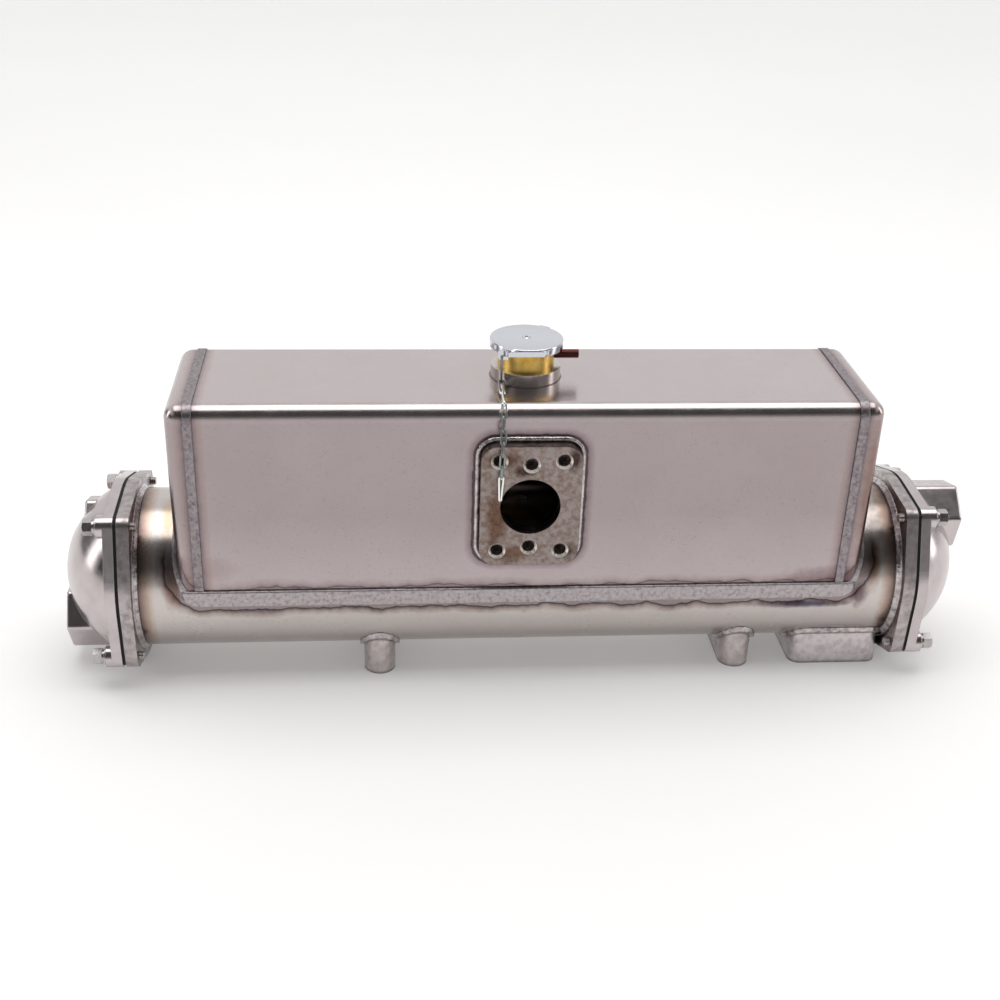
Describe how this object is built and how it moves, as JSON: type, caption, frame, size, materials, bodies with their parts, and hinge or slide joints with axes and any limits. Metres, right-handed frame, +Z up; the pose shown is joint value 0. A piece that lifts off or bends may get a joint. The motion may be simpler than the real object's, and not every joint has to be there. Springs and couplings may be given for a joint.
{
  "type": "shell and tube heat exchanger",
  "caption": "Shell and tube heat exchanger: welded stainless header tank on a round shell, bolted domed end covers, filler with pressure cap, front and bottom port plates.",
  "frame": {"origin": "centre of the foot pads' bolt pattern, on the seating plane", "axes": "+X along the shell towards the right end cover, +Y to the back of the header tank, +Z up"},
  "size_m": [0.808, 0.1703, 0.303],
  "materials": {
    "stainless_tube": "satin welded stainless tube",
    "stainless_sheet": "satin stainless sheet with heat tint at the welds",
    "flange_steel": "cut and ground steel plate",
    "weld_bead": "welded bead, mottled grey with heat tint",
    "gasket_rubber": "black rubber",
    "cast_cover": "satin cast cover",
    "zinc_bolt": "zinc plated fasteners",
    "tube_sheet_brass": "machined brass plate",
    "bundle_copper": "drawn copper alloy tube",
    "port_plate_steel": "machined plate, stained brown",
    "pad_steel": "machined block",
    "neck_brass": "spun brass",
    "overflow_copper": "tarnished copper tube",
    "cap_plated": "bright plated pressing",
    "chain_steel": "plated steel wire"
  },
  "bodies": {
    "exchanger": {"shell_tube": "stainless_tube", "tube_flange_left": "flange_steel", "tube_flange_right": "flange_steel", "flange_weld_left": "weld_bead", "flange_weld_right": "weld_bead", "gasket_left": "gasket_rubber", "gasket_right": "gasket_rubber", "end_cover_left": "cast_cover", "end_cover_right": "cast_cover", "cover_bolts_left": "zinc_bolt", "cover_bolts_right": "zinc_bolt", "tube_sheet_left": "tube_sheet_brass", "tube_sheet_right": "tube_sheet_brass", "tube_bundle": "bundle_copper", "tank_wrapper": "stainless_sheet", "tank_end_left": "stainless_sheet", "tank_end_right": "stainless_sheet", "tank_seam_weld_left": "weld_bead", "tank_seam_weld_right": "weld_bead", "tank_base_weld": "weld_bead", "front_port_plate": "port_plate_steel", "front_plate_weld": "weld_bead", "foot_pad_left": "pad_steel", "foot_pad_right": "pad_steel", "bottom_port_pad": "pad_steel", "foot_weld_left": "weld_bead", "foot_weld_right": "weld_bead", "port_pad_weld": "weld_bead", "filler_collar": "stainless_tube", "filler_neck": "neck_brass", "overflow_tube": "overflow_copper"},
    "cap": {"pressure_cap": "cap_plated", "cap_seal": "gasket_rubber", "cap_valve": "neck_brass", "cap_tab": "cap_plated", "cap_chain": "chain_steel"}
  },
  "joints": [
    {"name": "cap_lift", "type": "slide", "parent": "exchanger", "child": "cap", "axis": [0, 0, 1], "range_m": [0, 0.045]}
  ]
}
